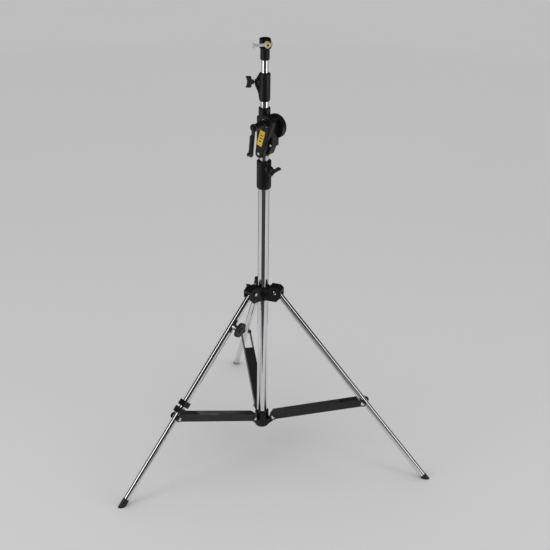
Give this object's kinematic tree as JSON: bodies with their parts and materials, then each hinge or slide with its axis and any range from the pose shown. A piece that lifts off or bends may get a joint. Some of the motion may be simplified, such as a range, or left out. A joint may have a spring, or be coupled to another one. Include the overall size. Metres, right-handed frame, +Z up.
{
  "type": "crank lighting stand",
  "caption": "Wind-up lighting stand with chrome telescoping mast, geared crank winch, sliding leg collar, braced folding tripod and one levelling leg",
  "frame": {"origin": "on the mast axis at floor level", "axes": "+Z up the mast; the levelling leg points to azimuth 210 degrees, the others to 330 and 90 degrees from +X"},
  "size_m": [1.2094, 1.0505, 1.678],
  "materials": {
    "bright_chrome": "polished chrome plate on steel tube",
    "black_casting": "satin black enamel on cast aluminium",
    "black_sheet": "satin black paint on pressed steel",
    "dark_plastic": "moulded, fine grain",
    "nylon": "turned nylon",
    "plain_steel": "zinc plated",
    "brass": "turned brass",
    "friction_lining": "pressed friction material",
    "plate_yellow": "printed plate, left blank"
  },
  "bodies": {
    "mast_base": {"base_tube": "bright_chrome", "base_plug": "bright_chrome", "hub_casting": "black_casting", "hub_bolts": "bright_chrome", "hub_nuts": "plain_steel", "base_clamp": "black_casting", "base_clamp_bush": "nylon"},
    "lower_lock": {"base_knob": "dark_plastic"},
    "collar": {"leg_collar": "black_casting", "collar_bush": "nylon", "leg_pivot_bolts": "bright_chrome", "leg_pivot_nuts": "plain_steel"},
    "collar_lock": {"collar_knob": "dark_plastic"},
    "right_leg": {"leg_right_tube": "bright_chrome", "leg_right_foot": "dark_plastic"},
    "rear_leg": {"leg_rear_tube": "bright_chrome", "leg_rear_foot": "dark_plastic"},
    "left_leg": {"level_outer_tube": "bright_chrome", "leg_clamps": "black_casting"},
    "sliding_leg": {"level_inner_tube": "bright_chrome", "level_block": "plain_steel", "level_stud": "plain_steel", "level_saddle": "plain_steel", "level_foot": "dark_plastic"},
    "leg_lock": {"level_knob": "dark_plastic"},
    "right_strut": {"brace_right": "black_sheet", "brace_right_bolts": "bright_chrome"},
    "rear_strut": {"brace_rear": "black_sheet", "brace_rear_bolts": "bright_chrome"},
    "left_strut": {"brace_left": "black_sheet", "brace_left_bolts": "bright_chrome"},
    "riser": {"riser_tube": "bright_chrome", "riser_guide": "nylon", "winch_body": "black_casting", "shaft_bushes": "brass", "column_bushes": "nylon", "drum_cover": "black_casting", "front_cover": "black_casting", "cover_bolts": "bright_chrome", "label_plate": "plate_yellow", "brake_lining": "friction_lining"},
    "drive_train": {"drive_shaft": "plain_steel", "drive_gear": "plain_steel"},
    "crank": {"crank_shaft": "plain_steel", "crank_washer": "plain_steel", "crank_hub": "black_casting", "crank_arm": "black_sheet", "brake_disc": "friction_lining"},
    "grip_hinge": {"grip_spindle": "plain_steel"},
    "grip": {"grip_sleeve": "dark_plastic"},
    "column": {"geared_column": "bright_chrome", "column_guide": "nylon", "upper_clamp": "black_casting", "upper_clamp_bush": "nylon"},
    "upper_lock": {"upper_knob": "dark_plastic"},
    "top_mast": {"top_tube": "bright_chrome", "top_tube_guide": "nylon", "head_casting": "black_casting"},
    "head_lock": {"head_screw": "brass"},
    "tommy": {"tommy_bar": "plain_steel"}
  },
  "joints": [
    {"name": "leg_collar_slide", "type": "slide", "parent": "mast_base", "child": "collar", "axis": [0, 0, 1], "range_m": [0, 0.3895]},
    {"name": "right_leg_fold", "type": "hinge", "parent": "collar", "child": "right_leg", "pos_m": [0.04677, -0.027, 0.7], "axis": [0.5, 0.866, 0], "range_deg": [-0.5, 38.47]},
    {"name": "rear_leg_fold", "type": "hinge", "parent": "collar", "child": "rear_leg", "pos_m": [0, 0.054, 0.7], "axis": [-1, 0, 0], "range_deg": [-0.5, 38.47]},
    {"name": "left_leg_fold", "type": "hinge", "parent": "collar", "child": "left_leg", "pos_m": [-0.04677, -0.027, 0.7], "axis": [0.5, -0.866, 0], "range_deg": [-0.5, 38.47]},
    {"name": "right_strut_fold", "type": "hinge", "parent": "mast_base", "child": "right_strut", "pos_m": [0.04677, -0.027, 0.15], "axis": [-0.5, -0.866, 0], "range_deg": [-0.5, 64.21]},
    {"name": "rear_strut_fold", "type": "hinge", "parent": "mast_base", "child": "rear_strut", "pos_m": [0, 0.054, 0.15], "axis": [1, 0, 0], "range_deg": [-0.5, 64.21]},
    {"name": "left_strut_fold", "type": "hinge", "parent": "mast_base", "child": "left_strut", "pos_m": [-0.04677, -0.027, 0.15], "axis": [-0.5, 0.866, 0], "range_deg": [-0.5, 64.21]},
    {"name": "collar_lock_turn", "type": "hinge", "parent": "collar", "child": "collar_lock", "pos_m": [0, 0, 0.687], "axis": [-0.866, 0.5, 0], "range_deg": [-180, 180]},
    {"name": "levelling_slide", "type": "slide", "parent": "left_leg", "child": "sliding_leg", "axis": [-0.5773, -0.3333, -0.7454], "range_m": [0, 0.25]},
    {"name": "leg_lock_turn", "type": "hinge", "parent": "sliding_leg", "child": "leg_lock", "pos_m": [-0.13105, -0.07566, 0.59117], "axis": [0.6906, -0.6863, -0.228], "range_deg": [-180, 180]},
    {"name": "riser_slide", "type": "slide", "parent": "mast_base", "child": "riser", "axis": [0, 0, 1], "range_m": [0, 0.65]},
    {"name": "lower_lock_turn", "type": "hinge", "parent": "mast_base", "child": "lower_lock", "pos_m": [0, 0, 1.196], "axis": [0.5, -0.866, 0], "range_deg": [-180, 180]},
    {"name": "lift_slide", "type": "slide", "parent": "riser", "child": "column", "axis": [0, 0, 1], "range_m": [0, 0.7]},
    {"name": "drive_gear_turn", "type": "hinge", "parent": "riser", "child": "drive_train", "pos_m": [0.01756, -0.01951, 1.34514], "axis": [0.7431, 0.6691, 0], "range_deg": [-5, 3347]},
    {"name": "crank_turn", "type": "hinge", "parent": "riser", "child": "crank", "pos_m": [0.02382, -0.02646, 1.383], "axis": [0.7431, 0.6691, 0], "range_deg": [-11151, 10]},
    {"name": "grip_fold", "type": "hinge", "parent": "crank", "child": "grip_hinge", "pos_m": [-0.06923, -0.09722, 1.28246], "axis": [0.6661, -0.7397, -0.0958], "range_deg": [0, 90]},
    {"name": "grip_spin", "type": "hinge", "parent": "grip_hinge", "child": "grip", "pos_m": [-0.06923, -0.09722, 1.28246], "axis": [0.0641, -0.0712, 0.9954], "continuous": true},
    {"name": "upper_lock_turn", "type": "hinge", "parent": "column", "child": "upper_lock", "pos_m": [0, 0, 1.519], "axis": [-0.9848, 0.1736, 0], "range_deg": [-180, 180]},
    {"name": "top_tube_slide", "type": "slide", "parent": "column", "child": "top_mast", "axis": [0, 0, 1], "range_m": [0, 0.67]},
    {"name": "head_screw_turn", "type": "hinge", "parent": "top_mast", "child": "head_lock", "pos_m": [0, 0, 1.663], "axis": [0.0872, -0.9962, 0], "range_deg": [-360, 360]},
    {"name": "tommy_bar_slide", "type": "slide", "parent": "head_lock", "child": "tommy", "axis": [0.9962, 0.0872, 0], "range_m": [0, 0.026]}
  ],
  "couplings": [
    {"joint": "right_leg_fold", "follows": "leg_collar_slide", "rad_per_m": 1.7013},
    {"joint": "rear_leg_fold", "follows": "leg_collar_slide", "rad_per_m": 1.7013},
    {"joint": "left_leg_fold", "follows": "leg_collar_slide", "rad_per_m": 1.7013},
    {"joint": "right_strut_fold", "follows": "leg_collar_slide", "rad_per_m": 2.855},
    {"joint": "rear_strut_fold", "follows": "leg_collar_slide", "rad_per_m": 2.855},
    {"joint": "left_strut_fold", "follows": "leg_collar_slide", "rad_per_m": 2.855},
    {"joint": "drive_gear_turn", "follows": "lift_slide", "rad_per_m": 83.333},
    {"joint": "crank_turn", "follows": "lift_slide", "rad_per_m": -277.78}
  ]
}
